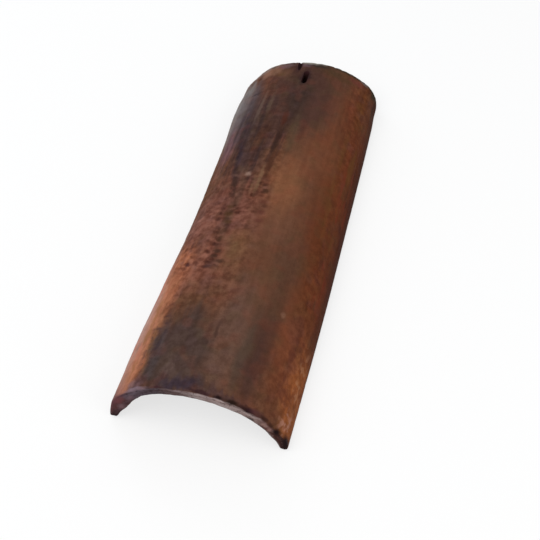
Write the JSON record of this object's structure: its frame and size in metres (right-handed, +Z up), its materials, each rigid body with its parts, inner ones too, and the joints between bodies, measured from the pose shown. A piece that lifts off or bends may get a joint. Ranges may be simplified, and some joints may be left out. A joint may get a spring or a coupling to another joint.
{
  "type": "clay roof tile",
  "caption": "Tapered half-round clay roof tile that lies arch up on its two long edges, with a nail slot through the crown near its narrow head.",
  "frame": {"origin": "middle of the tile's box, on the floor plane through the two long edges", "axes": "+X across the tile, +Y along it from the wide end to the narrow head, +Z up through the crown"},
  "size_m": [0.176, 0.4598, 0.0759],
  "materials": {
    "fired_clay": "unglazed fired clay, matt, dark flashed brown with terracotta and charcoal patches"
  },
  "bodies": {
    "root": {"barrel_tile": "fired_clay"}
  },
  "joints": []
}
